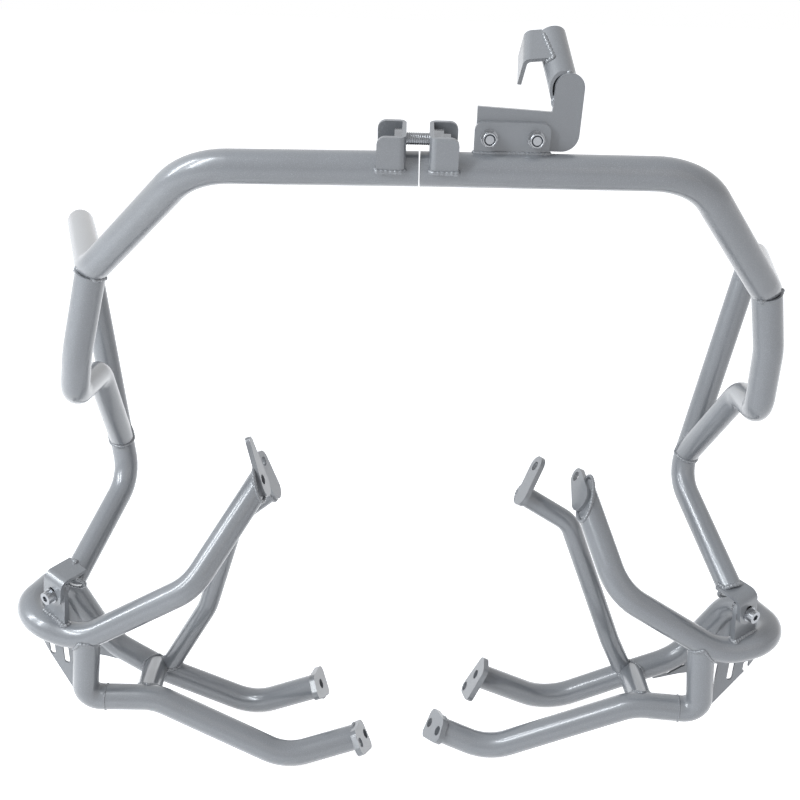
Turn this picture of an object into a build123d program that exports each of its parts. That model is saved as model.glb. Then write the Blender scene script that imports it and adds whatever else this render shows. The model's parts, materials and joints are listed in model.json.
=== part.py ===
from build123d import *
import os
from math import cos, radians, sin

os.makedirs("parts", exist_ok=True)

# Tubes
upper_diameter = 25.0
lower_diameter = 27.0
arm_diameter = 22.0
tube_wall = 2.0
joint_gap = 1.0

# Bend radii of the tube axes
shoulder_bend = 60.0
heel_bend = 30.0
crown_bend = 30.0
knee_bend = 45.0
loop_bend = 110.0
loop_foot_bend = 30.0
foot_stub = 22.0
elbow_bend = 55.0
corner_bend = 56.0
outer_bend = 38.0
rear_corner_bend = 38.0
low_bend = 60.0
upright_bend = 16.0
arm_bend = 30.0
arm_low_bend = 60.0

# Clamps at the joint of the two halves
clamp_length = 20.5
clamp_wall = 3.0
clamp_height = 30.0
clamp_low = 4.5
clamp_mouth = 6.0
clamp_corner = 5.0
clamp_lean = 14.5
clamp_bolt_height = 22.8
clamp_bolt_diameter = 8.0
clamp_bolt_overhang = 5.0

# Hexagon heads and nuts
m8_across = 13.0
m8_head = 5.3
m8_nut = 6.8
m6_across = 10.0
m6_head = 4.0
m6_nut = 6.0
hole_clearance = 0.5

# Plates
flange_thickness = 6.0
flange_holes = 25.0
mount_hole = 10.5
tab_thickness = 5.0
strap_thickness = 4.0
strap_width = 25.0
strap_fold = 7.0
lug_thickness = 5.0
lug_width = 32.0
lug_taper = 87.0
yoke_turn = 33.0
yoke_lean = 12.0
yoke_bolt_diameter = 8.0
yoke_bolt_overhang = 2.0
yoke_slot = 14.0
panel_thickness = 2.5
panel_slot_width = 6.0
panel_inset = 8.0
panel_side_inset = 3.0
panel_rear_bend = 10.0
panel_tail_bend = 20.0
panel_tail = 28.0
panel_drop = 4.0
panel_foot_width = 12.0
panel_corner_width = 22.0
panel_corner_y = 10.0
panel_corner_z = 142.0
panel_rear_y = 70.0
panel_rear_z = 100.0
panel_knee = 12.0
panel_knee_drop = 14.0
panel_tail_drop = 26.0
flange_corner = 8.0
front_outline = [(22.0, -17.0), (-16.0, -14.0), (-26.0, 11.0), (19.0, 18.0)]
rear_outline = [(-32.0, 9.0), (6.0, 26.0), (25.0, -5.0), (-30.0, -18.0)]
front_turn = 24.0
arm_tab_length = 58.0
arm_tab_width = 24.0
cross_share = 0.97
cross_front_share = 0.87
loop_start_share = 0.03

# Tube ends run past their plates and are trimmed by them
tube_overrun = 1.25
trim_reach = 60.0

side_slots = (14.0, 30.0, 46.0, 62.0)
panel_slot_z = 131.0
panel_slot_length = 16.0
panel_slot_fall = 0.15
tail_slot_width = 3.5
yoke_hole_diameter = 8.5
yoke_washer = 1.6
yoke_washer_diameter = 16.0
yoke_head_diameter = 13.0
yoke_head = 7.0
yoke_socket = 6.0
strap_rise = 23.0
strap_web = 32.0
lug_top = 14.0
lug_depth = 46.0

# Bracket on the right upper bar
bracket_front_y = -135.0
bracket_corner = 6.0
lobe_radius = 10.2
heel_radius = 12.0
bracket_tube_low = (100.0, -125.0, 724.8)
bracket_tube_high = (92.5, -87.0, 757.7)
bracket_foot_z = 684.1
bracket_left_top = 713.9
bracket_inner = (91.9, 711.2)
lobe_centre = (103.0, 727.4)
heel_centre = (100.4, 696.1)
hook_share = 0.42
hook_run = (0.053, 0.775, 0.63)
hook_seat = (5.0, 8.0)
hook_elbow = (24.0, 4.6)
hook_tip = (26.0, -18.5)
hook_bend = 5.0
bracket_thickness = 5.0
bracket_bolt_diameter = 6.0
bracket_bolt_spacing = 33.0
bracket_bolt_x = 48.3
bracket_bolt_z = 693.3
bracket_tab_width = 53.5
bracket_tab_top = 704.0
bracket_plate_margin = 1.5
bracket_bolt_overhang = 1.5
bracket_tube_underrun = -0.6
bracket_tube_diameter = 21.0
bracket_washer_diameter = 12.0
bracket_washer = 1.2
hook_thickness = 3.0
hook_width = 28.0

# Points of the tube axes, one set for each half, with +Z up and the joint at X = 0
joint_y = -133.0
joint_z = 670.0

left = {
    "name": "left",
    "side": -1,
    "shoulder": (-164.3, joint_y, 667.9),
    "heel": (-264.4, -66.0, 567.4),
    "crown": (-340.1, 149.0, 556.6),
    "knee": (-305.4, 115.0, 275.5),
    "ankle": (-338.8, 1.0, 215.9),
    "loop_side": (-287.5, -56.0, 488.9),
    "loop_foot": (-299.5, -39.0, 443.4),
    "loop_back": (-304.7, 49.0, 427.6),
    "brace_share": 0.846,
    "hanger": (-148.5, 51.0, 313.0),
    "elbow": (-214.7, -13.0, 220.4),
    "corner_in": (-332.9, -17.0, 154.5),
    "corner_out": (-400.4, -5.0, 176.1),
    "corner_rear": (-383.1, 89.0, 163.2),
    "dip": (-343.3, 94.0, 69.8),
    "cross_root": (-283.9, 79.0, 44.0),
    "rear_low": (-168.4, 60.1, 9.5),
    "rear_end": (-89.0, 48.0, 50.0),
    "upright_share": 0.937,
    "foot": (-334.5, -17.0, 81.0),
    "front_sag": (-261.2, -13.0, 78.7),
    "front_low": (-122.8, -24.2, 11.2),
    "front_end": (-43.0, -6.0, 27.0),
    "arm_top": (-146.1, 99.0, 271.7),
    "arm_upper": (-185.9, 94.0, 240.6),
    "arm_lower": (-221.0, 84.0, 127.1),
    "arm_share": 0.1,
    "hanger_tab": (-150.0, 58.0, 318.0),
    "arm_tab": (-147.5, 99.5, 290.5),
    "yoke_hole": (-354.8, -18.0, 210.4),
    "panel_slots": ((-352.8, 117.0, 144.0), (-367.8, 126.0, 144.0)),
    "tail_slot": ((-340.7, 67.8), (-332.2, 52.7)),
    "clamp_setback": 9.7,
    "front_flange": (-39.7, -13.0, 29.7),
    "rear_flange": (-89.2, 39.0, 58.7),
    "rear_turn": 24.0,
    "rear_outline": front_outline,
    "rear_holes": [(0.0, 0.0)],
    "front_normal": (0.884, 0.031, 0.467),
    "rear_normal": (0.92, -0.01, 0.392),
    "hanger_normal": (0.946, -0.022, 0.324),
    "hanger_foot": (-4.5, 14.0),
    "hanger_foot_radius": 13.0,
    "hanger_tip": (5.5, -32.0),
    "hanger_tip_radius": 5.5,
    "hanger_hole": (-7.0, 7.0),
    "arm_normal": (0.92, -0.12, 0.37),
    "arm_turn": -90.0,
}

right = {
    "name": "right",
    "side": 1,
    "shoulder": (199.1, joint_y, 671.1),
    "heel": (288.6, -66.0, 564.0),
    "crown": (348.7, 149.0, 538.8),
    "knee": (297.9, 115.0, 294.9),
    "ankle": (333.0, 1.0, 225.0),
    "loop_side": (302.7, -56.0, 509.4),
    "loop_foot": (310.3, -39.0, 444.5),
    "loop_back": (324.0, 49.0, 423.3),
    "brace_share": 0.9,
    "hanger": (183.3, 53.5, 303.4),
    "elbow": (215.8, -13.0, 227.8),
    "corner_in": (327.1, -17.0, 159.5),
    "corner_out": (394.9, -5.0, 171.5),
    "corner_rear": (374.5, 89.0, 154.9),
    "dip": (323.3, 94.0, 66.0),
    "cross_root": (265.9, 84.0, 49.5),
    "rear_low": (172.0, 82.8, 6.2),
    "rear_end": (86.0, 60.0, 60.0),
    "upright_share": 0.811,
    "foot": (316.1, -17.0, 84.1),
    "front_sag": (248.3, -9.0, 82.9),
    "front_low": (97.5, -3.4, 10.3),
    "front_end": (40.0, 8.0, 28.0),
    "arm_top": (131.8, 99.0, 271.4),
    "arm_upper": (179.6, 94.0, 244.0),
    "arm_lower": (238.7, 84.0, 94.5),
    "arm_share": 0.05,
    "hanger_tab": (179.3, 64.2, 302.4),
    "arm_tab": (131.0, 96.0, 294.0),
    "yoke_hole": (347.8, -18.0, 210.4),
    "panel_slots": ((327.5, 101.0, 140.0), (346.2, 116.0, 142.0), (362.2, 126.0, 139.0)),
    "tail_slot": ((328.9, 62.3), (310.9, 48.5)),
    "clamp_setback": 6.5,
    "front_flange": (37.2, 8.9, 28.1),
    "rear_flange": (79.4, 59.5, 51.7),
    "rear_turn": 78.0,
    "rear_outline": rear_outline,
    "rear_holes": [(-flange_holes / 2, 0.0), (flange_holes / 2, 0.0)],
    "front_normal": (-0.852, -0.092, 0.516),
    "rear_normal": (-0.892, 0.007, 0.451),
    "hanger_normal": (-0.896, -0.097, 0.433),
    "hanger_foot": (-12.0, 3.6),
    "hanger_foot_radius": 14.0,
    "hanger_tip": (19.5, -5.0),
    "hanger_tip_radius": 9.5,
    "hanger_hole": (19.5, -5.0),
    "arm_normal": (-0.85, -0.055, 0.51),
    "arm_turn": -62.0,
}


def between(start, end, share):
    """The point that lies the given share of the way from start to end."""
    return tuple(a + (b - a) * share for a, b in zip(start, end))


def mirrored(spot, side):
    """A spot in a plate's plane, turned over for the left half."""
    return (spot[0], side * spot[1])


def towards(start, end, distance):
    """The point that lies the given distance from start on the way to end."""
    way = Vector(*end) - Vector(*start)
    return tuple(Vector(*start) + way.normalized() * distance)


def tube(points, radii, diameter, wall):
    """A bent tube whose axis runs through the points, with one bend radius for each corner."""
    with BuildPart() as bent:
        with BuildLine():
            axis = FilletPolyline(*points, radius=radii)
        with BuildSketch(Plane(origin=axis @ 0, z_dir=axis % 0)):
            Circle(diameter / 2)
            if wall:
                Circle(diameter / 2 - wall, mode=Mode.SUBTRACT)
        sweep(path=axis)
    return bent.part


def plate_plane(centre, normal, side, turn):
    """A plane on a plate's outer face, its X turned from the level line that runs rearwards."""
    out = Vector(*normal).normalized()
    rearwards = out.cross(Vector(0, 0, 1)).normalized() * side
    return turned(Plane(origin=centre, x_dir=rearwards, z_dir=out), side * turn)


def turned(plane, degrees):
    """The plane turned about its own normal."""
    x_dir = plane.x_dir.rotate(Axis((0, 0, 0), plane.z_dir), degrees)
    return Plane(origin=plane.origin, x_dir=x_dir, z_dir=plane.z_dir)


def tube_between(start, end, diameter):
    """A straight solid rod from start to end."""
    with BuildPart() as rod:
        with BuildLine():
            axis = Line(start, end)
        with BuildSketch(Plane(origin=axis @ 0, z_dir=axis % 0)):
            Circle(diameter / 2)
        sweep(path=axis)
    return rod.part


def keep(solid, name):
    """Label a finished piece and write it to its own file."""
    solid.label = name
    export_step(solid, "parts/" + name + ".step")


clamp_bolt_yz = (
    joint_y - clamp_bolt_height * sin(radians(clamp_lean)),
    joint_z + clamp_bolt_height * cos(radians(clamp_lean)),
)
lower_radius = lower_diameter / 2

for half in (left, right):
    name = half["name"]
    side = half["side"]

    # Upper bar, rear crown and leg, one tube bent four times
    main_route = [
        (side * joint_gap / 2, joint_y, joint_z),
        half["shoulder"],
        half["heel"],
        half["crown"],
        half["knee"],
        half["ankle"],
    ]
    main_bends = [shoulder_bend, heel_bend, crown_bend, knee_bend]
    main_rod = tube(main_route, main_bends, upper_diameter, 0)
    half["main_rod"] = main_rod
    with BuildPart() as main_tube:
        add(tube(main_route, main_bends, upper_diameter, tube_wall))
    keep(main_tube.part, name + "_main_tube")

    # Side loop, coped on the heel and on the leg
    brace_end = between(half["crown"], half["knee"], half["brace_share"])
    loop_start = between(half["heel"], half["loop_side"], loop_start_share)
    loop_route = [loop_start, half["loop_side"], half["loop_foot"], half["loop_back"], brace_end]
    loop_bends = [loop_bend, loop_foot_bend, loop_foot_bend]
    with BuildPart() as loop_tube:
        add(tube(loop_route, loop_bends, upper_diameter, tube_wall))
        add(main_rod, mode=Mode.SUBTRACT)
    keep(loop_tube.part, name + "_loop_tube")

    # Planes on the outer faces of the four end plates
    hanger_plane = plate_plane(half["hanger_tab"], half["hanger_normal"], side, 0)
    arm_plane = plate_plane(half["arm_tab"], half["arm_normal"], side, half["arm_turn"])
    front_plane = plate_plane(half["front_flange"], half["front_normal"], side, front_turn)
    rear_plane = plate_plane(half["rear_flange"], half["rear_normal"], side, half["rear_turn"])

    # Lower hoop, one tube from the hanger down, round the outer corner and back to the flange
    hoop_route = [
        between(half["elbow"], half["hanger"], tube_overrun),
        half["elbow"],
        half["corner_in"],
        half["corner_out"],
        half["corner_rear"],
        half["dip"],
        half["cross_root"],
        half["rear_low"],
        between(half["rear_low"], half["rear_end"], tube_overrun),
    ]
    hoop_bends = [
        elbow_bend,
        corner_bend,
        outer_bend,
        rear_corner_bend,
        low_bend,
        low_bend,
        low_bend,
    ]
    hoop_rod = tube(hoop_route, hoop_bends, lower_diameter, 0)
    with BuildPart() as hoop_tube:
        add(tube(hoop_route, hoop_bends, lower_diameter, tube_wall))
        for end_face in (hanger_plane.offset(-tab_thickness), rear_plane.offset(-flange_thickness)):
            with BuildSketch(end_face):
                Circle(trim_reach)
            extrude(amount=trim_reach, mode=Mode.SUBTRACT)
    keep(hoop_tube.part, name + "_hoop_tube")

    # Upright, bent inwards at its foot to meet the front lower tube end to end
    upright_top = between(half["elbow"], half["corner_in"], half["upright_share"])
    upright_end = towards(half["foot"], half["front_sag"], foot_stub)
    upright_route = [upright_top, half["foot"], upright_end]
    upright_rod = tube(upright_route, [upright_bend], lower_diameter, 0)
    with BuildPart() as upright_tube:
        add(tube(upright_route, [upright_bend], lower_diameter, tube_wall))
        add(hoop_rod, mode=Mode.SUBTRACT)
    keep(upright_tube.part, name + "_upright_tube")

    # Front lower tube, from the upright's foot down and in to the front flange
    front_route = [
        upright_end,
        half["front_sag"],
        half["front_low"],
        between(half["front_low"], half["front_end"], tube_overrun),
    ]
    front_bends = [low_bend, low_bend]
    front_rod = tube(front_route, front_bends, lower_diameter, 0)
    with BuildPart() as front_lower_tube:
        add(tube(front_route, front_bends, lower_diameter, tube_wall))
        with BuildSketch(front_plane.offset(-flange_thickness)):
            Circle(trim_reach)
        extrude(amount=trim_reach, mode=Mode.SUBTRACT)
    keep(front_lower_tube.part, name + "_front_lower_tube")

    # Cross tube, from the hoop's rear run forward to the front lower tube
    cross_start = between(half["dip"], half["cross_root"], cross_share)
    cross_end = between(half["foot"], half["front_sag"], cross_front_share)
    with BuildPart() as cross_tube:
        with BuildLine():
            axis = Line(cross_start, cross_end)
        with BuildSketch(Plane(origin=axis @ 0, z_dir=axis % 0)):
            Circle(lower_radius)
            Circle(lower_radius - tube_wall, mode=Mode.SUBTRACT)
        sweep(path=axis)
        add(hoop_rod, mode=Mode.SUBTRACT)
        add(front_rod, mode=Mode.SUBTRACT)
    keep(cross_tube.part, name + "_cross_tube")
    cross_rod = tube_between(cross_start, cross_end, lower_diameter)

    # Rear arm, from its tab down to the hoop's rear run
    arm_foot = between(half["cross_root"], half["rear_low"], half["arm_share"])
    arm_route = [
        between(half["arm_upper"], half["arm_top"], tube_overrun),
        half["arm_upper"],
        half["arm_lower"],
        arm_foot,
    ]
    with BuildPart() as rear_arm:
        add(tube(arm_route, [arm_bend, arm_low_bend], arm_diameter, tube_wall))
        add(hoop_rod, mode=Mode.SUBTRACT)
        add(cross_rod, mode=Mode.SUBTRACT)
        with BuildSketch(arm_plane.offset(-tab_thickness)):
            Circle(trim_reach)
        extrude(amount=trim_reach, mode=Mode.SUBTRACT)
    keep(rear_arm.part, name + "_rear_arm")

    # Hanger tabs, drop-shaped plates that close the oblique tube ends
    with BuildPart() as hanger_tab:
        with BuildSketch(hanger_plane):
            with Locations(mirrored(half["hanger_foot"], side)):
                Circle(half["hanger_foot_radius"])
            with Locations(mirrored(half["hanger_tip"], side)):
                Circle(half["hanger_tip_radius"])
            make_hull()
            with Locations(mirrored(half["hanger_hole"], side)):
                Circle(mount_hole / 2, mode=Mode.SUBTRACT)
        extrude(amount=-tab_thickness)
    keep(hanger_tab.part, name + "_hanger_tab")
    with BuildPart() as arm_tab:
        with BuildSketch(arm_plane):
            SlotCenterToCenter(arm_tab_length - arm_tab_width, arm_tab_width)
            with Locations(((arm_tab_length - arm_tab_width) / 2, 0)):
                Circle(mount_hole / 2, mode=Mode.SUBTRACT)
        extrude(amount=-tab_thickness)
    keep(arm_tab.part, name + "_arm_tab")

    # Flanges, rounded four-cornered plates with their bolt holes
    front_holes = [(-flange_holes / 2, 0.0), (flange_holes / 2, 0.0)]
    for place, plane, corners, holes in (
        ("front", front_plane, front_outline, front_holes),
        ("rear", rear_plane, half["rear_outline"], half["rear_holes"]),
    ):
        outline = [mirrored(corner, side) for corner in corners]
        with BuildPart() as flange:
            with BuildSketch(plane) as face:
                with BuildLine():
                    Polyline(*outline, close=True)
                make_face()
                fillet(face.vertices(), flange_corner)
                with Locations(holes):
                    Circle(mount_hole / 2, mode=Mode.SUBTRACT)
            extrude(amount=-flange_thickness)
        keep(flange.part, name + "_" + place + "_flange")

    # Guard panel, a sheet that hangs from the hoop and wraps round its outer corner
    panel_route = [
        (half["foot"][0] + side * lower_radius / 2, half["corner_in"][1] + panel_inset),
        (half["corner_out"][0] - side * panel_side_inset, half["corner_out"][1] + panel_inset),
        (half["corner_rear"][0] - side * panel_side_inset, half["corner_rear"][1] - panel_inset),
        (half["dip"][0], half["dip"][1] - panel_inset),
        (half["dip"][0] - side * panel_tail, half["dip"][1] - panel_inset),
    ]
    panel_bends = [outer_bend - panel_inset, panel_rear_bend, panel_tail_bend]
    outer_x = half["corner_out"][0] + side * lower_diameter
    low_edge = half["foot"][2] - panel_drop
    with BuildPart() as guard_panel:
        with BuildSketch():
            with BuildLine() as run:
                FilletPolyline(*panel_route, radius=panel_bends)
            trace(run.line, panel_thickness)
        extrude(amount=half["corner_out"][2] + lower_diameter)
        # The front run's lower edge climbs from the foot to the outer corner
        with BuildSketch(Plane.XZ.offset(-panel_corner_y)):
            with BuildLine():
                Polyline(
                    (half["foot"][0] - side * lower_diameter, 0),
                    (half["foot"][0] - side * lower_diameter, low_edge),
                    (half["foot"][0] + side * panel_foot_width, low_edge),
                    (half["corner_out"][0] - side * panel_corner_width, panel_corner_z),
                    (outer_x, panel_corner_z),
                    (outer_x, 0),
                    close=True,
                )
            make_face()
        extrude(amount=trim_reach, mode=Mode.SUBTRACT)
        # The side run's lower edge falls again towards the rear corner
        with BuildSketch(Plane.YZ.offset(half["dip"][0])):
            with BuildLine():
                Polyline(
                    (panel_corner_y, 0),
                    (panel_corner_y, panel_corner_z),
                    (panel_rear_y, panel_rear_z),
                    (panel_rear_y, 0),
                    close=True,
                )
            make_face()
        extrude(amount=side * trim_reach * 2, mode=Mode.SUBTRACT)
        # The rear run's lower edge follows the hoop down to the tail
        with BuildSketch(Plane.XZ.offset(-panel_rear_y)):
            with BuildLine():
                Polyline(
                    (outer_x, 0),
                    (outer_x, panel_rear_z),
                    (half["corner_rear"][0], panel_rear_z),
                    (half["dip"][0] + side * panel_knee, half["dip"][2] - panel_knee_drop),
                    (half["dip"][0] - side * panel_tail, half["dip"][2] - panel_tail_drop),
                    (half["dip"][0] - side * panel_tail * 2, half["dip"][2] - panel_tail_drop),
                    (half["dip"][0] - side * panel_tail * 2, 0),
                    close=True,
                )
            make_face()
        extrude(amount=-trim_reach, mode=Mode.SUBTRACT)
        add(hoop_rod, mode=Mode.SUBTRACT)
        add(upright_rod, mode=Mode.SUBTRACT)
        # Slots through the front run, the side run and the tail
        for x, low, high in half["panel_slots"]:
            with BuildSketch(Plane.XZ.offset(-panel_corner_y)):
                with Locations((x, (low + high) / 2)):
                    SlotOverall(high - low, panel_slot_width, rotation=90)
            extrude(amount=trim_reach, mode=Mode.SUBTRACT)
        for y in side_slots:
            with BuildSketch(Plane.YZ.offset(half["dip"][0])):
                with Locations((y, panel_slot_z - y * panel_slot_fall)):
                    SlotOverall(panel_slot_length, panel_slot_width, rotation=90)
            extrude(amount=side * trim_reach * 2, mode=Mode.SUBTRACT)
        with BuildSketch(Plane.XZ.offset(-panel_rear_y)):
            with BuildLine() as slit:
                Line(*half["tail_slot"])
            trace(slit.line, tail_slot_width)
        extrude(amount=-trim_reach, mode=Mode.SUBTRACT)
    with BuildPart() as hanging_panel:
        add(guard_panel.part.solids().sort_by_distance(half["foot"])[0])
    keep(hanging_panel.part, name + "_guard_panel")

    # Yoke: lug on the hoop, folded strap on the leg's end, bolted together
    turned_out = Vector(side * sin(radians(yoke_turn)), -cos(radians(yoke_turn)), 0)
    across = Vector(cos(radians(yoke_turn)), side * sin(radians(yoke_turn)), 0)
    face = Plane(origin=half["yoke_hole"], x_dir=across, z_dir=turned_out)
    face = turned(face, side * yoke_lean)
    half["yoke_face"] = face
    strap_side = Plane(origin=face.origin, x_dir=face.z_dir, z_dir=-face.x_dir)
    with BuildPart() as yoke_strap:
        with BuildSketch(strap_side):
            with BuildLine() as fold:
                FilletPolyline(
                    (-strap_thickness / 2, -strap_width),
                    (-strap_thickness / 2, strap_rise - strap_thickness / 2),
                    (-strap_web, strap_rise - strap_thickness / 2),
                    radius=strap_fold,
                )
            trace(fold.line, strap_thickness)
        extrude(amount=strap_width / 2, both=True)
        with BuildSketch(face.offset(-strap_web)):
            Circle(strap_width / 2)
            with Locations((0, strap_rise)):
                Rectangle(strap_width, 2 * strap_rise)
        extrude(amount=2 * strap_web, mode=Mode.INTERSECT)
        with BuildSketch(face):
            with Locations((0, (yoke_slot - yoke_hole_diameter) / 2)):
                SlotOverall(yoke_slot, yoke_hole_diameter, rotation=90)
        extrude(amount=-strap_thickness * 1.5, mode=Mode.SUBTRACT)
        add(main_rod, mode=Mode.SUBTRACT)
    keep(yoke_strap.part.solids().sort_by(Axis.Y)[0], name + "_yoke_strap")
    with BuildPart() as yoke_lug:
        with BuildSketch(face.offset(-strap_thickness)):
            Circle(lug_top)
            with Locations((0, -lug_depth / 2)):
                Trapezoid(lug_width, lug_depth, lug_taper)
            make_hull()
            Circle(yoke_hole_diameter / 2, mode=Mode.SUBTRACT)
        extrude(amount=-lug_thickness)
        add(hoop_rod, mode=Mode.SUBTRACT)
    keep(yoke_lug.part.solids().sort_by(Axis.Z)[-1], name + "_yoke_lug")

    # Clamp channel, folded from strip, its two flanges straddle the tube
    lean = Vector(0, -sin(radians(clamp_lean)), cos(radians(clamp_lean)))
    web_face = side * half["clamp_setback"]
    clamp_axis = Plane(origin=(0, joint_y, joint_z), x_dir=(1, 0, 0), z_dir=lean)
    clamp_middle = web_face + side * clamp_length / 2
    with BuildPart() as clamp_channel:
        with BuildSketch(clamp_axis.offset(clamp_low)):
            with Locations((clamp_middle, 0)):
                outer = Rectangle(clamp_length, upper_diameter + 2 * clamp_wall)
            fillet(outer.vertices().group_by(Axis.X)[0 if side > 0 else -1], clamp_corner)
            with Locations((clamp_middle + side * clamp_wall, 0)):
                Rectangle(clamp_length, upper_diameter, mode=Mode.SUBTRACT)
        extrude(amount=clamp_height - clamp_low)
        # The mouth's upper corners are rounded off on both flanges
        flange_side = lean.cross(Vector(1, 0, 0))
        with BuildSketch(Plane(origin=clamp_axis.origin, x_dir=(1, 0, 0), z_dir=flange_side)):
            with Locations((clamp_middle, 0)):
                mouth = Rectangle(clamp_length, 2 * clamp_height)
            fillet(mouth.vertices().group_by(Axis.X)[-1 if side > 0 else 0], clamp_mouth)
        extrude(amount=clamp_length, both=True, mode=Mode.INTERSECT)
        with BuildSketch(Plane.YZ.offset(web_face - side * clamp_wall)):
            with Locations(clamp_bolt_yz):
                Circle((clamp_bolt_diameter + hole_clearance) / 2)
        extrude(amount=side * clamp_wall * 3, mode=Mode.SUBTRACT)
        add(main_rod, mode=Mode.SUBTRACT)
    keep(clamp_channel.part, name + "_clamp_channel")

right_rod = right["main_rod"]

# Clamp bolt and nut
with BuildPart() as clamp_bolt:
    head_x = -left["clamp_setback"] - clamp_wall
    tip_x = right["clamp_setback"] + clamp_wall + m8_nut + clamp_bolt_overhang
    bolt_end = Plane(origin=(head_x, *clamp_bolt_yz), x_dir=(0, 1, 0), z_dir=(1, 0, 0))
    with BuildSketch(bolt_end):
        Circle(clamp_bolt_diameter / 2)
    extrude(amount=tip_x - head_x)
    with BuildSketch(bolt_end):
        RegularPolygon(m8_across / 2, 6, major_radius=False)
    extrude(amount=-m8_head)
keep(clamp_bolt.part, "clamp_bolt")
with BuildPart() as clamp_nut:
    nut_x = right["clamp_setback"] + clamp_wall
    with BuildSketch(Plane(origin=(nut_x, *clamp_bolt_yz), x_dir=(0, 1, 0), z_dir=(1, 0, 0))):
        RegularPolygon(m8_across / 2, 6, major_radius=False)
        Circle(clamp_bolt_diameter / 2, mode=Mode.SUBTRACT)
    extrude(amount=m8_nut)
keep(clamp_nut.part, "clamp_nut")

# Yoke fasteners, one of each on both halves, kept as one group each
yoke_bolt_reach = yoke_washer + strap_thickness + lug_thickness + m8_nut + yoke_bolt_overhang
with BuildPart() as yoke_bolts:
    for half in (left, right):
        face = half["yoke_face"]
        with BuildSketch(face.offset(yoke_washer)):
            Circle(yoke_head_diameter / 2)
            RegularPolygon(yoke_socket / 2, 6, major_radius=False, mode=Mode.SUBTRACT)
        extrude(amount=yoke_head)
        with BuildSketch(face.offset(yoke_washer)):
            Circle(yoke_head_diameter / 2)
        extrude(amount=yoke_head / 2)
        with BuildSketch(face.offset(yoke_washer)):
            Circle(yoke_bolt_diameter / 2)
        extrude(amount=-yoke_bolt_reach)
keep(yoke_bolts.part, "yoke_bolts")
with BuildPart() as yoke_washers:
    for half in (left, right):
        with BuildSketch(half["yoke_face"]):
            Circle(yoke_washer_diameter / 2)
            Circle(yoke_bolt_diameter / 2, mode=Mode.SUBTRACT)
        extrude(amount=yoke_washer)
keep(yoke_washers.part, "yoke_washers")
with BuildPart() as yoke_nuts:
    for half in (left, right):
        with BuildSketch(half["yoke_face"].offset(-strap_thickness - lug_thickness)):
            RegularPolygon(m8_across / 2, 6, major_radius=False)
            Circle(yoke_bolt_diameter / 2, mode=Mode.SUBTRACT)
        extrude(amount=-m8_nut)
keep(yoke_nuts.part, "yoke_nuts")

# Bracket tab, welded on top of the right upper bar
tab_centre_x = bracket_bolt_x + bracket_bolt_spacing / 2
tab_front = Plane.XZ.offset(-bracket_front_y)
bolt_spots = [
    (bracket_bolt_x, bracket_bolt_z),
    (bracket_bolt_x + bracket_bolt_spacing, bracket_bolt_z),
]
with BuildPart() as bracket_tab:
    with BuildSketch(tab_front) as outline:
        with Locations((tab_centre_x, (bracket_tab_top + joint_z) / 2)):
            Rectangle(bracket_tab_width, bracket_tab_top - joint_z)
        fillet(outline.vertices().group_by(Axis.Z)[-1], bracket_corner)
        with Locations(bolt_spots):
            Circle((bracket_bolt_diameter + hole_clearance) / 2, mode=Mode.SUBTRACT)
    extrude(amount=-bracket_thickness)
    add(right_rod, mode=Mode.SUBTRACT)
keep(bracket_tab.part, "bracket_tab")

# Bracket plate, an L bolted behind the tab
plate_front = tab_front.offset(-bracket_thickness)
plate_left = tab_centre_x - bracket_tab_width / 2 + bracket_plate_margin
with BuildPart() as bracket_plate:
    with BuildSketch(plate_front) as outline:
        with BuildLine():
            Polyline(
                (plate_left, bracket_foot_z),
                (plate_left, bracket_left_top),
                bracket_inner,
                (lobe_centre[0] - lobe_radius, lobe_centre[1]),
                (lobe_centre[0] + lobe_radius, lobe_centre[1]),
                (heel_centre[0] + heel_radius, heel_centre[1]),
                (heel_centre[0], bracket_foot_z),
                close=True,
            )
        make_face()
        top_left = (plate_left, plate_front.origin.Y, bracket_left_top)
        fillet(outline.vertices().sort_by_distance(top_left)[0], bracket_corner)
        with Locations(lobe_centre):
            Circle(lobe_radius)
        with Locations(heel_centre):
            Circle(heel_radius)
        with Locations(bolt_spots):
            Circle((bracket_bolt_diameter + hole_clearance) / 2, mode=Mode.SUBTRACT)
    extrude(amount=-bracket_thickness)
keep(bracket_plate.part, "bracket_plate")

# Bracket tube, rising rearwards from the plate's lobe
plate_back = plate_front.offset(-bracket_thickness)
tube_low = bracket_tube_low
tube_high = bracket_tube_high
long_start = between(tube_low, tube_high, bracket_tube_underrun)
with BuildPart() as bracket_tube:
    with BuildLine():
        axis = Line(long_start, tube_high)
    with BuildSketch(Plane(origin=axis @ 0, z_dir=axis % 0)):
        Circle(bracket_tube_diameter / 2)
        Circle(bracket_tube_diameter / 2 - tube_wall, mode=Mode.SUBTRACT)
    sweep(path=axis)
    with BuildSketch(plate_back):
        with Locations((tube_low[0], tube_low[2])):
            Circle(trim_reach)
    extrude(amount=trim_reach, mode=Mode.SUBTRACT)
keep(bracket_tube.part, "bracket_tube")

# Hook, a strip bent to a J and welded on the tube's upper side
hook_along = Vector(*hook_run).normalized()
level = Vector(-1, 0, 0)
hook_plane = Plane(
    origin=between(tube_low, tube_high, hook_share),
    x_dir=level - hook_along * level.dot(hook_along),
    z_dir=hook_along,
)
bracket_rod = tube_between(long_start, between(tube_low, tube_high, tube_overrun), bracket_tube_diameter)
with BuildPart() as bracket_hook:
    with BuildSketch(hook_plane):
        with BuildLine() as bend:
            FilletPolyline(hook_seat, hook_elbow, hook_tip, radius=hook_bend)
        trace(bend.line, hook_thickness)
    extrude(amount=hook_width)
    add(bracket_rod, mode=Mode.SUBTRACT)
keep(bracket_hook.part, "bracket_hook")

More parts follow.
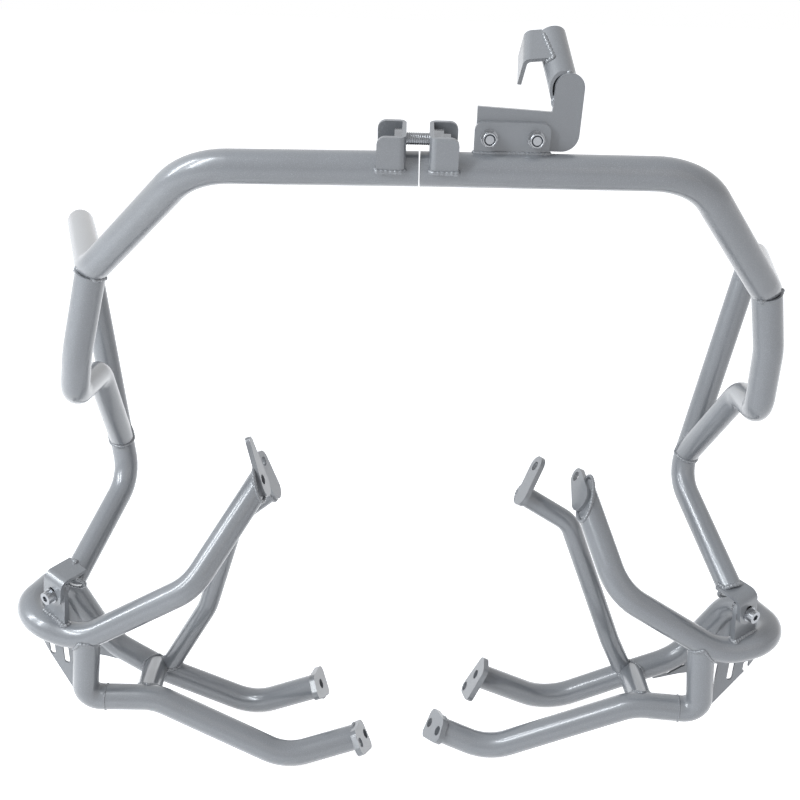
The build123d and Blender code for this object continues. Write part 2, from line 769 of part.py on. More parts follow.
# Bracket fasteners: heads behind, nuts facing forwards
washer_front = tab_front.offset(bracket_washer)
with BuildPart() as bracket_washers:
    for base, grow in ((tab_front, bracket_washer), (plate_back, -bracket_washer)):
        with BuildSketch(base):
            with Locations(bolt_spots):
                Circle(bracket_washer_diameter / 2)
                Circle(bracket_bolt_diameter / 2, mode=Mode.SUBTRACT)
        extrude(amount=grow)
keep(bracket_washers.part, "bracket_washers")
with BuildPart() as bracket_nuts:
    with BuildSketch(washer_front):
        with Locations(bolt_spots):
            RegularPolygon(m6_across / 2, 6, major_radius=False)
            Circle(bracket_bolt_diameter / 2, mode=Mode.SUBTRACT)
    extrude(amount=m6_nut)
keep(bracket_nuts.part, "bracket_nuts")
bracket_bolt_reach = 2 * (bracket_washer + bracket_thickness) + m6_nut + bracket_bolt_overhang
with BuildPart() as bracket_bolts:
    with BuildSketch(plate_back.offset(-bracket_washer)):
        with Locations(bolt_spots):
            RegularPolygon(m6_across / 2, 6, major_radius=False)
    extrude(amount=-m6_head)
    with BuildSketch(plate_back.offset(-bracket_washer)):
        with Locations(bolt_spots):
            Circle(bracket_bolt_diameter / 2)
    extrude(amount=bracket_bolt_reach)
keep(bracket_bolts.part, "bracket_bolts")
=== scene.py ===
import json

import bmesh
import bpy
import numpy as np
from mathutils import Matrix, Vector


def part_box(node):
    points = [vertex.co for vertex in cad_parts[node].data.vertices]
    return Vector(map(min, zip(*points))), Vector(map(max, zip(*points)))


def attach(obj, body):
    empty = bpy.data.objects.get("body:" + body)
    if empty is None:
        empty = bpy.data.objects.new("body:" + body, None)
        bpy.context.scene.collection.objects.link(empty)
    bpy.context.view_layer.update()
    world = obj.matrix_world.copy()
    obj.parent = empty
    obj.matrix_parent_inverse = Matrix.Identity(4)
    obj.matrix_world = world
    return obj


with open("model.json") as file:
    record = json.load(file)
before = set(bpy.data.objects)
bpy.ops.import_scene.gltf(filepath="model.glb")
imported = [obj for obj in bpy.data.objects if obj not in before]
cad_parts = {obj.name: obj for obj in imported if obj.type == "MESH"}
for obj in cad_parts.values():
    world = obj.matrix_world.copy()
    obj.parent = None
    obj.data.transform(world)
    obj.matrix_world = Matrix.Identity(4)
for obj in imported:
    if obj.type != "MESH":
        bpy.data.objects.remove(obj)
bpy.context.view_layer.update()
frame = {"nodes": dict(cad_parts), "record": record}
nodes = frame["nodes"]

# The view. The bars stand on a pale floor and are seen from in front and a
# little above, from a point at the height of their upper bar, with the
# photograph's small roll to the right.
eye = Vector((-0.0093, -0.851, 0.8143))
look_down = np.radians(65.6)
roll = np.radians(1.52)
lens_mm = 45.0
sensor_mm = 36.0

camera_data = bpy.data.cameras.new("camera")
camera_data.lens = lens_mm
camera_data.sensor_width = sensor_mm
camera = bpy.data.objects.new("camera", camera_data)
camera.matrix_world = (
    Matrix.Translation(eye) @ Matrix.Rotation(look_down, 4, "X") @ Matrix.Rotation(roll, 4, "Z")
)
bpy.context.scene.collection.objects.link(camera)
bpy.context.scene.camera = camera

# Floor and light. A wide white sheet lies under the bars and is lifted to near
# white for the view, so it shows only their soft shadow. Two soft boxes on the
# left stand for a window, a large dim one in front and right fills, and the
# room is brighter towards the upper left.
floor_half = 12.0
floor_tone = 0.93
floor_roughness = 0.9
floor_specular = 0.1
floor_lift = 0.86
room_light = 1.0
room_dim = (0.13, 0.115, 0.10)
room_bright = (0.40, 0.43, 0.48)
room_way = (-0.72, -0.25, 0.65)
window_size = (0.3, 1.5)
window_power = 24.0
window_colour = (0.93, 0.97, 1.0)
window_places = {"window_left": (-1.9, -0.5, 1.7), "window_right": (-1.3, -1.1, 1.9)}
fill_size = (2.4, 2.4)
fill_power = 5.0
fill_colour = (1.0, 0.88, 0.77)
fill_place = (1.6, -2.4, 1.6)
lamps_face = (0.0, 0.0, 0.4)


def lit_white(tree, shader, strength):
    """A white shader, and a switch that is 1 for a camera, glossy or transmission ray."""
    path = tree.nodes.new("ShaderNodeLightPath")
    gloss = tree.nodes.new("ShaderNodeMath")
    gloss.operation = "MAXIMUM"
    seen = tree.nodes.new("ShaderNodeMath")
    seen.operation = "MAXIMUM"
    white = tree.nodes.new(shader)
    white.inputs["Color"].default_value = (1.0, 1.0, 1.0, 1.0)
    white.inputs["Strength"].default_value = strength
    tree.links.new(path.outputs["Is Glossy Ray"], gloss.inputs[0])
    tree.links.new(path.outputs["Is Transmission Ray"], gloss.inputs[1])
    tree.links.new(path.outputs["Is Camera Ray"], seen.inputs[0])
    tree.links.new(gloss.outputs[0], seen.inputs[1])
    return white, seen.outputs[0]


def lay_floor():
    """A flat square of floor, four corners on the ground."""
    sheet = bpy.data.meshes.new("floor")
    corners = floor_half * np.array([[-1, -1, 0], [1, -1, 0], [1, 1, 0], [-1, 1, 0]], float)
    sheet.from_pydata(corners.tolist(), [], [(0, 1, 2, 3)])
    floor = bpy.data.objects.new("floor", sheet)
    bpy.context.scene.collection.objects.link(floor)
    paint = bpy.data.materials.new("floor_paint")
    paint.use_nodes = True
    tree = paint.node_tree
    body = tree.nodes["Principled BSDF"]
    body.inputs["Base Color"].default_value = (floor_tone, floor_tone, floor_tone, 1.0)
    body.inputs["Roughness"].default_value = floor_roughness
    body.inputs["Specular IOR Level"].default_value = floor_specular
    white, seen = lit_white(tree, "ShaderNodeEmission", floor_lift)
    lift = tree.nodes.new("ShaderNodeAddShader")
    choose = tree.nodes.new("ShaderNodeMixShader")
    tree.links.new(body.outputs[0], lift.inputs[0])
    tree.links.new(white.outputs[0], lift.inputs[1])
    tree.links.new(seen, choose.inputs[0])
    tree.links.new(body.outputs[0], choose.inputs[1])
    tree.links.new(lift.outputs[0], choose.inputs[2])
    tree.links.new(choose.outputs[0], tree.nodes["Material Output"].inputs["Surface"])
    floor.data.materials.append(paint)


def hang_lamp(name, size, power, colour, place, target):
    """A rectangular soft box that faces the target."""
    lamp = bpy.data.lights.new(name, "AREA")
    lamp.shape = "RECTANGLE"
    lamp.size, lamp.size_y = size
    lamp.energy = power
    lamp.color = colour
    box = bpy.data.objects.new(name, lamp)
    box.location = place
    box.rotation_euler = (Vector(target) - Vector(place)).to_track_quat("-Z", "Y").to_euler()
    bpy.context.scene.collection.objects.link(box)


def light_room():
    """A room lit from the upper left, which looks plain white behind the bars.

    Its light goes from dim to bright with the direction's share along room_way.
    """
    world = bpy.data.worlds.new("room")
    world.use_nodes = True
    bpy.context.scene.world = world
    tree = world.node_tree
    air = tree.nodes["Background"]
    air.inputs["Strength"].default_value = room_light
    way = tree.nodes.new("ShaderNodeVectorMath")
    way.operation = "DOT_PRODUCT"
    way.inputs[1].default_value = room_way
    share = tree.nodes.new("ShaderNodeMapRange")
    share.inputs["From Min"].default_value = -1.0
    tone = tree.nodes.new("ShaderNodeMix")
    tone.data_type = "RGBA"
    tone.inputs["A"].default_value = (*room_dim, 1.0)
    tone.inputs["B"].default_value = (*room_bright, 1.0)
    tree.links.new(tree.nodes.new("ShaderNodeTexCoord").outputs["Generated"], way.inputs[0])
    tree.links.new(way.outputs["Value"], share.inputs["Value"])
    tree.links.new(share.outputs["Result"], tone.inputs["Factor"])
    tree.links.new(tone.outputs["Result"], air.inputs["Color"])
    white, seen = lit_white(tree, "ShaderNodeBackground", 1.0)
    choose = tree.nodes.new("ShaderNodeMixShader")
    tree.links.new(seen, choose.inputs[0])
    tree.links.new(air.outputs[0], choose.inputs[1])
    tree.links.new(white.outputs[0], choose.inputs[2])
    tree.links.new(choose.outputs[0], tree.nodes["World Output"].inputs["Surface"])


lay_floor()
light_room()
for lamp_name, lamp_place in window_places.items():
    hang_lamp(lamp_name, window_size, window_power, window_colour, lamp_place, lamps_face)
hang_lamp("fill", fill_size, fill_power, fill_colour, fill_place, lamps_face)
bpy.context.scene.view_settings.view_transform = "Standard"

# Powder coat. All tubes, plates and welds wear one silver powder film, sprayed
# and baked over the whole welded half. It is satin, flows to a faint orange
# peel, holds fine aluminium flakes and is a little thinner or thicker by place.
silver = (0.262, 0.275, 0.295)
silver_thin = (0.225, 0.232, 0.242)
flake_light = (0.40, 0.42, 0.45)
peel_scale = 620.0
peel_detail = 1.5
flake_scale = 2600.0
flake_from = 0.55
flake_full = 0.78
build_scale = 14.0
build_detail = 2.0
roughness_spread = 0.12
film_metal = 0.12
film_gloss = 0.6
film_gloss_roughness = 0.13
film_bump = 0.25
film_bump_height = 0.00012


def value_node(tree, operation, first, second):
    """A maths node; an input is a socket or a plain number."""
    node = tree.nodes.new("ShaderNodeMath")
    node.operation = operation
    for socket, given in zip(node.inputs, (first, second)):
        if isinstance(given, (int, float)):
            socket.default_value = given
        else:
            tree.links.new(given, socket)
    return node.outputs[0]


def mix_colour(tree, amount, first, second):
    """A colour between two; an input is a socket or a plain colour."""
    node = tree.nodes.new("ShaderNodeMix")
    node.data_type = "RGBA"
    tree.links.new(amount, node.inputs["Factor"])
    for socket, given in ((node.inputs["A"], first), (node.inputs["B"], second)):
        if isinstance(given, tuple):
            socket.default_value = (*given, 1.0)
        else:
            tree.links.new(given, socket)
    return node.outputs["Result"]


def surface_noise(tree, where, scale, detail):
    """Cloudy noise from 0 to 1 over the piece, with that many waves to the metre."""
    noise = tree.nodes.new("ShaderNodeTexNoise")
    noise.inputs["Scale"].default_value = scale
    noise.inputs["Detail"].default_value = detail
    tree.links.new(where, noise.inputs["Vector"])
    return noise.outputs["Fac"]


def powder_film():
    """Node group of the powder film: colour, roughness and surface height from place alone."""
    group = bpy.data.node_groups.new("powder_film", "ShaderNodeTree")
    add = group.interface.new_socket
    for name, start in (("Peel", 1.0), ("Flake", 1.0), ("Build", 1.0), ("Gloss Roughness", 0.33)):
        add(name=name, in_out="INPUT", socket_type="NodeSocketFloat").default_value = start
    add(name="Color", in_out="OUTPUT", socket_type="NodeSocketColor")
    add(name="Roughness", in_out="OUTPUT", socket_type="NodeSocketFloat")
    add(name="Height", in_out="OUTPUT", socket_type="NodeSocketFloat")
    given = group.nodes.new("NodeGroupInput")
    out = group.nodes.new("NodeGroupOutput")
    where = group.nodes.new("ShaderNodeTexCoord").outputs["Object"]
    peel = surface_noise(group, where, peel_scale, peel_detail)
    flake = surface_noise(group, where, flake_scale, 0.0)
    build = surface_noise(group, where, build_scale, build_detail)
    bright = group.nodes.new("ShaderNodeMapRange")
    bright.inputs["From Min"].default_value = flake_from
    bright.inputs["From Max"].default_value = flake_full
    group.links.new(flake, bright.inputs["Value"])
    speck = value_node(group, "MULTIPLY", bright.outputs["Result"], given.outputs["Flake"])
    thick = value_node(group, "MULTIPLY", build, given.outputs["Build"])
    film = mix_colour(group, thick, silver_thin, silver)
    colour = mix_colour(group, speck, film, flake_light)
    uneven = value_node(group, "SUBTRACT", build, 0.5)
    rough_shift = value_node(group, "MULTIPLY", uneven, roughness_spread)
    rough = value_node(group, "ADD", given.outputs["Gloss Roughness"], rough_shift)
    height = value_node(group, "MULTIPLY", peel, given.outputs["Peel"])
    group.links.new(colour, out.inputs["Color"])
    group.links.new(rough, out.inputs["Roughness"])
    group.links.new(height, out.inputs["Height"])
    return group


film_group = powder_film()


def powder_coat(name, peel, flake, build, roughness):
    """A coat of the silver powder with its own peel, flake, thickness spread and roughness."""
    coat = bpy.data.materials.new(name)
    coat.use_nodes = True
    tree = coat.node_tree
    body = tree.nodes["Principled BSDF"]
    film = tree.nodes.new("ShaderNodeGroup")
    film.node_tree = film_group
    for socket, amount in zip(film.inputs, (peel, flake, build, roughness)):
        socket.default_value = amount
    bump = tree.nodes.new("ShaderNodeBump")
    bump.inputs["Strength"].default_value = film_bump
    bump.inputs["Distance"].default_value = film_bump_height
    tree.links.new(film.outputs["Color"], body.inputs["Base Color"])
    tree.links.new(film.outputs["Roughness"], body.inputs["Roughness"])
    tree.links.new(film.outputs["Height"], bump.inputs["Height"])
    tree.links.new(bump.outputs["Normal"], body.inputs["Normal"])
    body.inputs["Metallic"].default_value = film_metal
    body.inputs["Coat Weight"].default_value = film_gloss
    body.inputs["Coat Roughness"].default_value = film_gloss_roughness
    return coat


def dress(node, material):
    """Give one CAD node its finish."""
    mesh = nodes[node].data
    mesh.materials.clear()
    mesh.materials.append(material)


halves = ("left", "right")
tube_nodes = (
    "main_tube",
    "loop_tube",
    "hoop_tube",
    "upright_tube",
    "front_lower_tube",
    "cross_tube",
    "rear_arm",
)
tube_coat = powder_coat("tube_powder_coat", peel=1.0, flake=0.55, build=1.0, roughness=0.30)
for half in halves:
    for tube in tube_nodes:
        dress(half + "_" + tube, tube_coat)

# Plates. Tabs, flanges, lugs and straps are cut from flat strip, and the film
# lies flatter and a little duller on them than on the tubes.
plate_nodes = (
    "hanger_tab",
    "arm_tab",
    "front_flange",
    "rear_flange",
    "yoke_strap",
    "yoke_lug",
    "clamp_channel",
)
plate_coat = powder_coat("plate_powder_coat", peel=0.7, flake=0.4, build=0.7, roughness=0.36)
for half in halves:
    for plate in plate_nodes:
        dress(half + "_" + plate, plate_coat)
for plate in ("bracket_tab", "bracket_plate", "bracket_tube", "bracket_hook"):
    dress(plate, plate_coat)

# Guard panels. Slotted sheet of 2.5 mm, bent round the lower hoop's outer
# corner. The film has the least peel on this thin sheet.
panel_coat = powder_coat("panel_powder_coat", peel=0.5, flake=0.4, build=0.8, roughness=0.34)
for half in halves:
    dress(half + "_guard_panel", panel_coat)

# Fasteners' finish. Bolts, nuts and washers are zinc plated steel, with a faint
# blue and a fine grain.
zinc_dark = (0.26, 0.27, 0.285)
zinc_light = (0.42, 0.43, 0.45)
zinc_cloud_scale = 260.0
zinc_cloud_detail = 3.0
zinc_roughness = 0.16
zinc_roughness_spread = 0.2
zinc_grain_scale = 1900.0
zinc_bump = 0.2
zinc_bump_height = 0.00005
zinc_plate = bpy.data.materials.new("zinc_plate")
zinc_plate.use_nodes = True


def plate_with_zinc(material):
    """Zinc whose tone and roughness wander a little over each piece."""
    tree = material.node_tree
    body = tree.nodes["Principled BSDF"]
    where = tree.nodes.new("ShaderNodeTexCoord").outputs["Object"]
    cloud = surface_noise(tree, where, zinc_cloud_scale, zinc_cloud_detail)
    colour = mix_colour(tree, cloud, zinc_dark, zinc_light)
    spread = value_node(tree, "MULTIPLY", cloud, zinc_roughness_spread)
    rough = value_node(tree, "ADD", spread, zinc_roughness)
    bump = tree.nodes.new("ShaderNodeBump")
    bump.inputs["Strength"].default_value = zinc_bump
    bump.inputs["Distance"].default_value = zinc_bump_height
    tree.links.new(surface_noise(tree, where, zinc_grain_scale, 1.0), bump.inputs["Height"])
    tree.links.new(bump.outputs["Normal"], body.inputs["Normal"])
    tree.links.new(colour, body.inputs["Base Color"])
    tree.links.new(rough, body.inputs["Roughness"])
    body.inputs["Metallic"].default_value = 1.0


plate_with_zinc(zinc_plate)
fastener_nodes = (
    "yoke_bolts",
    "yoke_washers",
    "yoke_nuts",
    "clamp_bolt",
    "clamp_nut",
    "bracket_bolts",
    "bracket_washers",
    "bracket_nuts",
)
for fastener in fastener_nodes:
    dress(fastener, zinc_plate)

# Weld beads round the branch tubes. Each coped tube end is welded all round to
# the tube it meets, and the coat over the bead shows its small even ripples.
bead_radius = 0.0018
elbow_bead_radius = 0.0009
bead_sides = 10
ripple_pitch = 0.0032
ripple_depth = 0.13
slow_swells = ((0.10, 3, 0.7), (0.07, 7, 2.1))
contact_slack = 0.0006
mouth_reach = 0.045
merge_gap = 1e-6
outer_share = 0.93
seam_sectors = 72
seam_steps = 144
seam_smoothings = 2
any_way = (0.31, 0.53, 0.79)
weld_coat = powder_coat("weld_powder_coat", peel=1.6, flake=0.7, build=0.8, roughness=0.24)


def node_shape(node):
    """A node's vertices and the vertex numbers of its triangles, as whole arrays."""
    mesh = nodes[node].data
    mesh.calc_loop_triangles()
    places = np.empty(3 * len(mesh.vertices))
    mesh.vertices.foreach_get("co", places)
    faces = np.empty(3 * len(mesh.loop_triangles), int)
    mesh.loop_triangles.foreach_get("vertices", faces)
    return places.reshape(-1, 3), faces.reshape(-1, 3)


def segment_gap(points, start, end):
    """Distance from points to segments: the foot on the line is held between its two ends."""
    way = end - start
    share = np.einsum("ij,ij->i", points - start, way)
    share = np.clip(share / np.maximum(np.einsum("ij,ij->i", way, way), 1e-18), 0, 1)
    return np.linalg.norm(points - start - share[:, None] * way, axis=1)


def touching(branch, mate):
    """Which vertices of the branch lie on the mate: within a hair of one of its triangles."""
    points, _ = node_shape(branch)
    places, faces = node_shape(mate)
    low = places[faces].min(1) - contact_slack
    high = places[faces].max(1) + contact_slack
    near = np.ones((len(points), len(faces)), bool)
    for way in range(3):
        near &= (points[:, None, way] >= low[:, way]) & (points[:, None, way] <= high[:, way])
    which, face = np.nonzero(near)
    spot = points[which]
    first, second, third = (places[faces[face, k]] for k in range(3))
    normal = np.cross(second - first, third - first)
    normal /= np.maximum(np.linalg.norm(normal, axis=1), 1e-15)[:, None]
    height = np.einsum("ij,ij->i", spot - first, normal)
    foot = spot - height[:, None] * normal
    inside = np.ones(len(spot), bool)
    gap = np.full(len(spot), 1.0)
    for start, end in ((first, second), (second, third), (third, first)):
        turn = np.cross(end - start, foot - start)
        inside &= np.einsum("ij,ij->i", turn, normal) >= 0
        gap = np.minimum(gap, segment_gap(spot, start, end))
    gap = np.where(inside, np.abs(height), gap)
    met = np.zeros(len(points), bool)
    met[which[gap < contact_slack]] = True
    return met


def tube_mouth(branch, plate, normal):
    """Which vertices of the branch lie on its cut end at a plate: the farthest along the normal."""
    points, _ = node_shape(branch)
    low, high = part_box(plate)
    centre = (np.array(low) + np.array(high)) / 2
    close = np.linalg.norm(points - centre, axis=1) < mouth_reach
    height = points @ np.array(normal)
    return close & (height > height[close].max() - contact_slack)


def seam_round(branch, met, tube=True):
    """The outer line of a contact, and the branch's own axis, about which it goes round.

    The axis is the direction that the walls beside the contact run in, which is the smallest
    singular vector of their normals. The line takes the farthest point of each sector, is
    spaced evenly by length and is smoothed. On a tube, its inner wall is left out first.
    """
    points, faces = node_shape(branch)
    on = met[faces]
    walls = faces[on.any(1) & ~on.all(1)]
    normal = np.cross(
        points[walls[:, 1]] - points[walls[:, 0]], points[walls[:, 2]] - points[walls[:, 0]]
    )
    normal /= np.maximum(np.linalg.norm(normal, axis=1), 1e-15)[:, None]
    along = np.linalg.svd(normal)[2][-1]
    ring = points[met]
    centre = (ring.max(0) + ring.min(0)) / 2
    across = np.cross(along, any_way)
    across /= np.linalg.norm(across)
    up = np.cross(along, across)
    x = (ring - centre) @ across
    y = (ring - centre) @ up
    middle_x = (x.max() + x.min()) / 2
    middle_y = (y.max() + y.min()) / 2
    far = np.hypot(x - middle_x, y - middle_y)
    if tube:
        outer = far > outer_share * far.max()
        ring, x, y, far = ring[outer], x[outer], y[outer], far[outer]
    angle = np.arctan2(y - middle_y, x - middle_x)
    sector = ((angle + np.pi) / (2 * np.pi) * seam_sectors).astype(int) % seam_sectors
    order = np.lexsort((far, sector))
    last = np.r_[sector[order][1:] != sector[order][:-1], True]
    loop = ring[order][last]
    loop = np.vstack([loop, loop[:1]])
    length = np.r_[0, np.cumsum(np.linalg.norm(np.diff(loop, axis=0), axis=1))]
    spots = np.linspace(0, length[-1], seam_steps, endpoint=False)
    line = np.stack([np.interp(spots, length, loop[:, k]) for k in range(3)], 1)
    for _ in range(seam_smoothings):
        line = (np.roll(line, 1, 0) + 2 * line + np.roll(line, -1, 0)) / 4
    return line, along


def put_mesh(name, places, faces, material):
    """A new piece from whole arrays, smooth all over, that rides with the bars."""
    mesh = bpy.data.meshes.new(name)
    mesh.from_pydata(places.tolist(), [], faces.tolist())
    mesh.shade_smooth()
    mesh.materials.append(material)
    piece = bpy.data.objects.new(name, mesh)
    bpy.context.scene.collection.objects.link(piece)
    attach(piece, "root")
    return piece


def settle(piece, merge):
    """Turn a piece's faces outwards, with its doubled points merged first if asked."""
    work = bmesh.new()
    work.from_mesh(piece.data)
    if merge:
        bmesh.ops.remove_doubles(work, verts=work.verts, dist=merge_gap)
    bmesh.ops.recalc_face_normals(work, faces=work.faces)
    work.to_mesh(piece.data)
    work.free()


def grid_faces(rows, columns, closed):
    """Four-cornered faces of a grid that wraps in its columns, and in its rows if closed."""
    bands = np.arange(rows if closed else rows - 1)
    row, column = np.meshgrid(bands, np.arange(columns), indexing="ij")
    row, column = row.ravel(), column.ravel()
    next_row, next_column = (row + 1) % rows, (column + 1) % columns
    return np.stack(
        [
            row * columns + column,
            row * columns + next_column,
            next_row * columns + next_column,
            next_row * columns + column,
        ],
        1,
    )


def bead_places(line, radius):
    """A rippled tube round a closed line: its radius swells once each ripple."""
    step = np.roll(line, -1, 0) - np.roll(line, 1, 0)
    tangent = step / np.maximum(np.linalg.norm(step, axis=1), 1e-12)[:, None]
    guide = line - line.mean(0)
    first = guide - np.einsum("ij,ij->i", guide, tangent)[:, None] * tangent
    first /= np.maximum(np.linalg.norm(first, axis=1), 1e-12)[:, None]
    second = np.cross(tangent, first)
    run = np.r_[0, np.cumsum(np.linalg.norm(np.diff(line, axis=0), axis=1))]
    total = run[-1] + np.linalg.norm(line[0] - line[-1])
    ripples = max(int(round(total / ripple_pitch)), 3)
    phase = 2 * np.pi * run / total
    swell = 1 + ripple_depth * np.sin(ripples * phase)
    swell += sum(size * np.sin(waves * phase + start) for size, waves, start in slow_swells)
    turn = (2 * np.pi * np.arange(bead_sides) / bead_sides)[None, :, None]
    reach = (radius * swell)[:, None, None]
    ring = np.cos(turn) * first[:, None] + np.sin(turn) * second[:, None]
    return (line[:, None] + reach * ring).reshape(-1, 3)


def lay_shapes(name, shapes, merge):
    """Several shapes, each its places and its faces, as one welded piece."""
    starts = np.cumsum([0] + [len(places) for places, _ in shapes[:-1]])
    places = np.vstack([places for places, _ in shapes])
    faces = np.vstack([quads + start for (_, quads), start in zip(shapes, starts)])
    settle(put_mesh(name, places, faces, weld_coat), merge)


def lay_beads(name, lines, radius):
    """All beads of one group as one piece."""
    beads = [
        (bead_places(line, radius), grid_faces(len(line), bead_sides, True)) for line in lines
    ]
    lay_shapes(name, beads, False)


def split_by_height(node, met, high):
    """The upper or the lower of two contacts."""
    points, _ = node_shape(node)
    middle = (points[met][:, 2].max() + points[met][:, 2].min()) / 2
    return met & ((points[:, 2] > middle) == high)


for half in halves:
    loop_met = touching(half + "_loop_tube", half + "_main_tube")
    rings = [
        seam_round(half + "_loop_tube", split_by_height(half + "_loop_tube", loop_met, high))[0]
        for high in (True, False)
    ]
    for branch, mate in (
        ("upright_tube", "hoop_tube"),
        ("cross_tube", "hoop_tube"),
        ("cross_tube", "front_lower_tube"),
        ("rear_arm", "hoop_tube"),
    ):
        branch = half + "_" + branch
        rings.append(seam_round(branch, touching(branch, half + "_" + mate))[0])
    lay_beads(half + "_tube_welds", rings, bead_radius)
    front = half + "_front_lower_tube"
    ring = seam_round(front, touching(front, half + "_upright_tube"))[0]
    lay_beads(half + "_elbow_weld", [ring], elbow_bead_radius)

# Plate welds. Flanges and tabs close the oblique tube ends and are welded round
# them, and the weld fills the part of a tube's mouth that its plate leaves open.
plate_bead_radius = 0.0019
mouth_bulge = 0.0012
mouth_under_share = 0.5
mouth_rings = 6


def mouth_fill(line, along, bulge):
    """A shallow lens over a tube's mouth: from its rim to its middle it rises as 1 - share squared."""
    share = np.linspace(1, 0, mouth_rings)[:, None, None]
    centre = line.mean(0)
    sheet = centre + share * (line - centre)[None]
    upper = sheet + (bulge * (1 - share**2)) * along
    lower = sheet - (mouth_under_share * bulge * (1 - share**2)) * along
    steps = len(line)
    places = np.vstack([upper.reshape(-1, 3), lower[1:].reshape(-1, 3)])
    top = grid_faces(mouth_rings, steps, False)
    under = grid_faces(mouth_rings, steps, False)[:, ::-1].copy()
    under = np.where(under >= steps, under + (mouth_rings - 1) * steps, under)
    return places, np.vstack([top, under])


mount_axes = {mount["name"]: np.array(mount["axis"], float) for mount in frame["record"]["mounts"]}


def plate_normal(plate):
    """The outward normal of a plate, which is the axis of its first bolt hole."""
    return next(axis for name, axis in sorted(mount_axes.items()) if name.startswith(plate))


for half in halves:
    rings = []
    fills = []
    for tube, plate in (
        ("hoop_tube", "hanger_tab"),
        ("hoop_tube", "rear_flange"),
        ("front_lower_tube", "front_flange"),
        ("rear_arm", "arm_tab"),
    ):
        branch = half + "_" + tube
        normal = plate_normal(half + "_" + plate)
        line, _ = seam_round(branch, tube_mouth(branch, half + "_" + plate, normal))
        rings.append(line)
        fills.append(mouth_fill(line, normal, mouth_bulge))
    lay_beads(half + "_plate_welds", rings, plate_bead_radius)
    lay_shapes(half + "_mouth_welds", fills, True)

# Yoke welds. The folded strap is welded across the leg's end and closes its
# mouth, and the lug stands on the hoop in a thick rippled bead all round.
lug_bead_radius = 0.0027
strap_bead_radius = 0.0021
leg_bulge = 0.004
leg_reach = 0.05
leg_rim_depth = 0.03
down = np.array([0.0, 0.0, -1.0])

for half in halves:
    leg = half + "_main_tube"
    points, _ = node_shape(leg)
    low, high = (np.array(corner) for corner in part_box(half + "_yoke_strap"))
    close = np.linalg.norm(points - (low + high) / 2, axis=1) < leg_reach
    rim = close & (points[:, 2] < points[:, 2].min() + leg_rim_depth)
    along = seam_round(leg, rim)[1]
    along = along * np.sign(along @ down)
    height = points @ along
    rim = close & (height > height[close].max() - contact_slack)
    line, along = seam_round(leg, rim)
    along = along * np.sign(along @ down)
    lay_shapes(half + "_leg_weld", [mouth_fill(line, along, leg_bulge)], True)
    strap = half + "_yoke_strap"
    rings = [seam_round(strap, touching(strap, leg), tube=False)[0]]
    lay_beads(half + "_strap_weld", rings + [line], strap_bead_radius)
    lug = half + "_yoke_lug"
    rings = [seam_round(lug, touching(lug, half + "_hoop_tube"), tube=False)[0]]
    lay_beads(half + "_lug_weld", rings, lug_bead_radius)

# Clamp and bracket welds. The clamp channels, the bracket's tab, its tube and
# its hook are each welded round the foot with a low even bead.
clamp_bead_radius = 0.0017
bracket_bead_radius = 0.0015

clamp_lean = np.radians(14.5)
clamp_up = np.array([0.0, -np.sin(clamp_lean), np.cos(clamp_lean)])

clamp_rings = []
for half in halves:
    clamp = half + "_clamp_channel"
    points, _ = node_shape(clamp)
    height = points @ clamp_up
    foot = height < height.min() + contact_slack
    clamp_rings.append(seam_round(clamp, foot, tube=False)[0])
lay_beads("clamp_welds", clamp_rings, clamp_bead_radius)
bracket_rings = [
    seam_round("bracket_tab", touching("bracket_tab", "right_main_tube"), tube=False)[0],
    seam_round("bracket_tube", touching("bracket_tube", "bracket_plate"))[0],
    seam_round("bracket_hook", touching("bracket_hook", "bracket_tube"), tube=False)[0],
]
lay_beads("bracket_welds", bracket_rings, bracket_bead_radius)

# Bolt threads. The clamp bolt is threaded over the whole stretch between the
# two channels, a rolled thread of 1.25 mm pitch.
thread_pitch = 0.00125
thread_steps = 12
thread_sides = 36
thread_root = 0.0039
thread_crest = 0.0044
tooth_slope = 1.25
tooth_flat = 0.1


def thread_places(start, end):
    """A screw surface: its radius runs from root to crest and back once each pitch and turn."""
    along = (end - start) / np.linalg.norm(end - start)
    first = np.cross(along, [0.0, 0.0, 1.0])
    first /= np.linalg.norm(first)
    second = np.cross(along, first)
    run = np.arange(0, np.linalg.norm(end - start), thread_pitch / thread_steps)[:, None]
    turn = (2 * np.pi * np.arange(thread_sides) / thread_sides)[None, :]
    tooth = np.abs(((run / thread_pitch - turn / (2 * np.pi)) % 1) * 2 - 1)
    rise = np.clip(tooth_slope * tooth - tooth_flat, 0, 1)
    radius = (thread_root + (thread_crest - thread_root) * rise)[:, :, None]
    side = np.cos(turn)[:, :, None] * first + np.sin(turn)[:, :, None] * second
    return (start + run[:, :, None] * along + radius * side).reshape(-1, 3)


low, high = (np.array(corner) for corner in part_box("clamp_nut"))
bolt_line = (low + high) / 2
thread_start = bolt_line.copy()
thread_start[0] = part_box("left_clamp_channel")[1][0]
thread_end = bolt_line.copy()
thread_end[0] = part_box("right_clamp_channel")[0][0]
places = thread_places(thread_start, thread_end)
thread_faces = grid_faces(len(places) // thread_sides, thread_sides, False)
put_mesh("clamp_bolt_thread", places, thread_faces, zinc_plate)

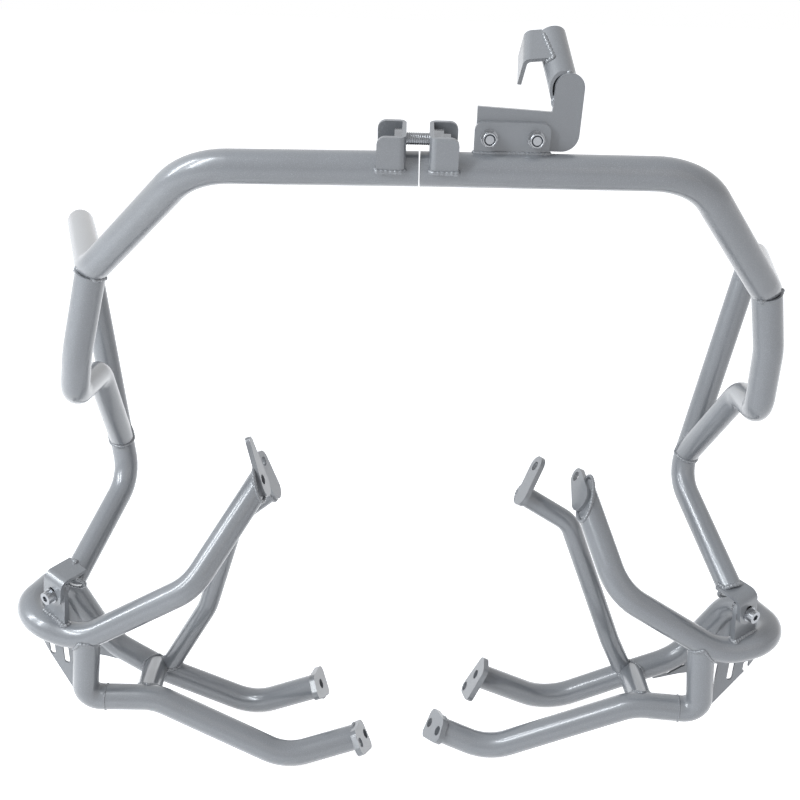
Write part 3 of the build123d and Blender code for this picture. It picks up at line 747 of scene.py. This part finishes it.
# Lock nut collars. Each bracket nut has a rolled collar that holds a nylon ring round the bolt's end.
# The ring's near-black colour is partly the nylon's own faint blue and partly painted shade, the shade
# of the hollow in the nut's crown.
collar_radius = 0.0044
collar_height = 0.0018
collar_tube = 0.0007
collar_steps = 16
ring_sides = 48
nylon_inner = 0.0031
nylon_inner_height = 0.55
nylon_outer_height = 0.7
# Painted shade: both nylon tones are near black, standing in for the shade of the nut's hollow crown
# over the nylon's own faint blue.
nylon_shade_dark = (0.035, 0.045, 0.06)
nylon_shade_light = (0.06, 0.07, 0.09)
nylon_cloud_scale = 900.0
nylon_cloud_detail = 2.0

nylon = bpy.data.materials.new("nylon_ring_shade_painted")
nylon.use_nodes = True
nylon_body = nylon.node_tree.nodes["Principled BSDF"]
nylon_where = nylon.node_tree.nodes.new("ShaderNodeTexCoord").outputs["Object"]
nylon_cloud = surface_noise(
    nylon.node_tree, nylon_where, nylon_cloud_scale, nylon_cloud_detail
)
nylon_shade_tone = mix_colour(nylon.node_tree, nylon_cloud, nylon_shade_dark, nylon_shade_light)
nylon.node_tree.links.new(nylon_shade_tone, nylon_body.inputs["Base Color"])
nylon_body.inputs["Roughness"].default_value = 0.5


def turned_ring(centre, profile):
    """A ring turned about the Y direction: each profile point is a radius and a height forwards."""
    turn = (2 * np.pi * np.arange(ring_sides) / ring_sides)[None, :]
    radius = profile[:, 0][:, None]
    x = centre[0] + radius * np.cos(turn)
    y = np.broadcast_to(centre[1] - profile[:, 1][:, None], x.shape)
    z = centre[2] + radius * np.sin(turn)
    return np.stack([x, y, z], 2).reshape(-1, 3)


nut_points, _ = node_shape("bracket_nuts")
nut_front = nut_points[:, 1].min()
middle_x = (nut_points[:, 0].max() + nut_points[:, 0].min()) / 2
for label, side in (("inner", -1), ("outer", 1)):
    own = nut_points[(nut_points[:, 0] - middle_x) * side > 0]
    centre = (own.max(0) + own.min(0)) / 2
    centre[1] = nut_front
    angle = 2 * np.pi * np.arange(collar_steps) / collar_steps
    rim_radius = collar_radius + collar_tube * np.cos(angle)
    rim_height = collar_height * (0.5 - 0.5 * np.sin(angle))
    places = turned_ring(centre, np.stack([rim_radius, rim_height], 1))
    faces = grid_faces(collar_steps, ring_sides, True)
    put_mesh("bracket_nut_collar_" + label, places, faces, zinc_plate)
    flat = np.array(
        [
            [collar_radius, 0.0],
            [nylon_inner, 0.0],
            [nylon_inner, collar_height * nylon_inner_height],
            [collar_radius, collar_height * nylon_outer_height],
        ]
    )
    faces = grid_faces(len(flat), ring_sides, True)
    put_mesh("bracket_nut_nylon_" + label, turned_ring(centre, flat), faces, nylon)
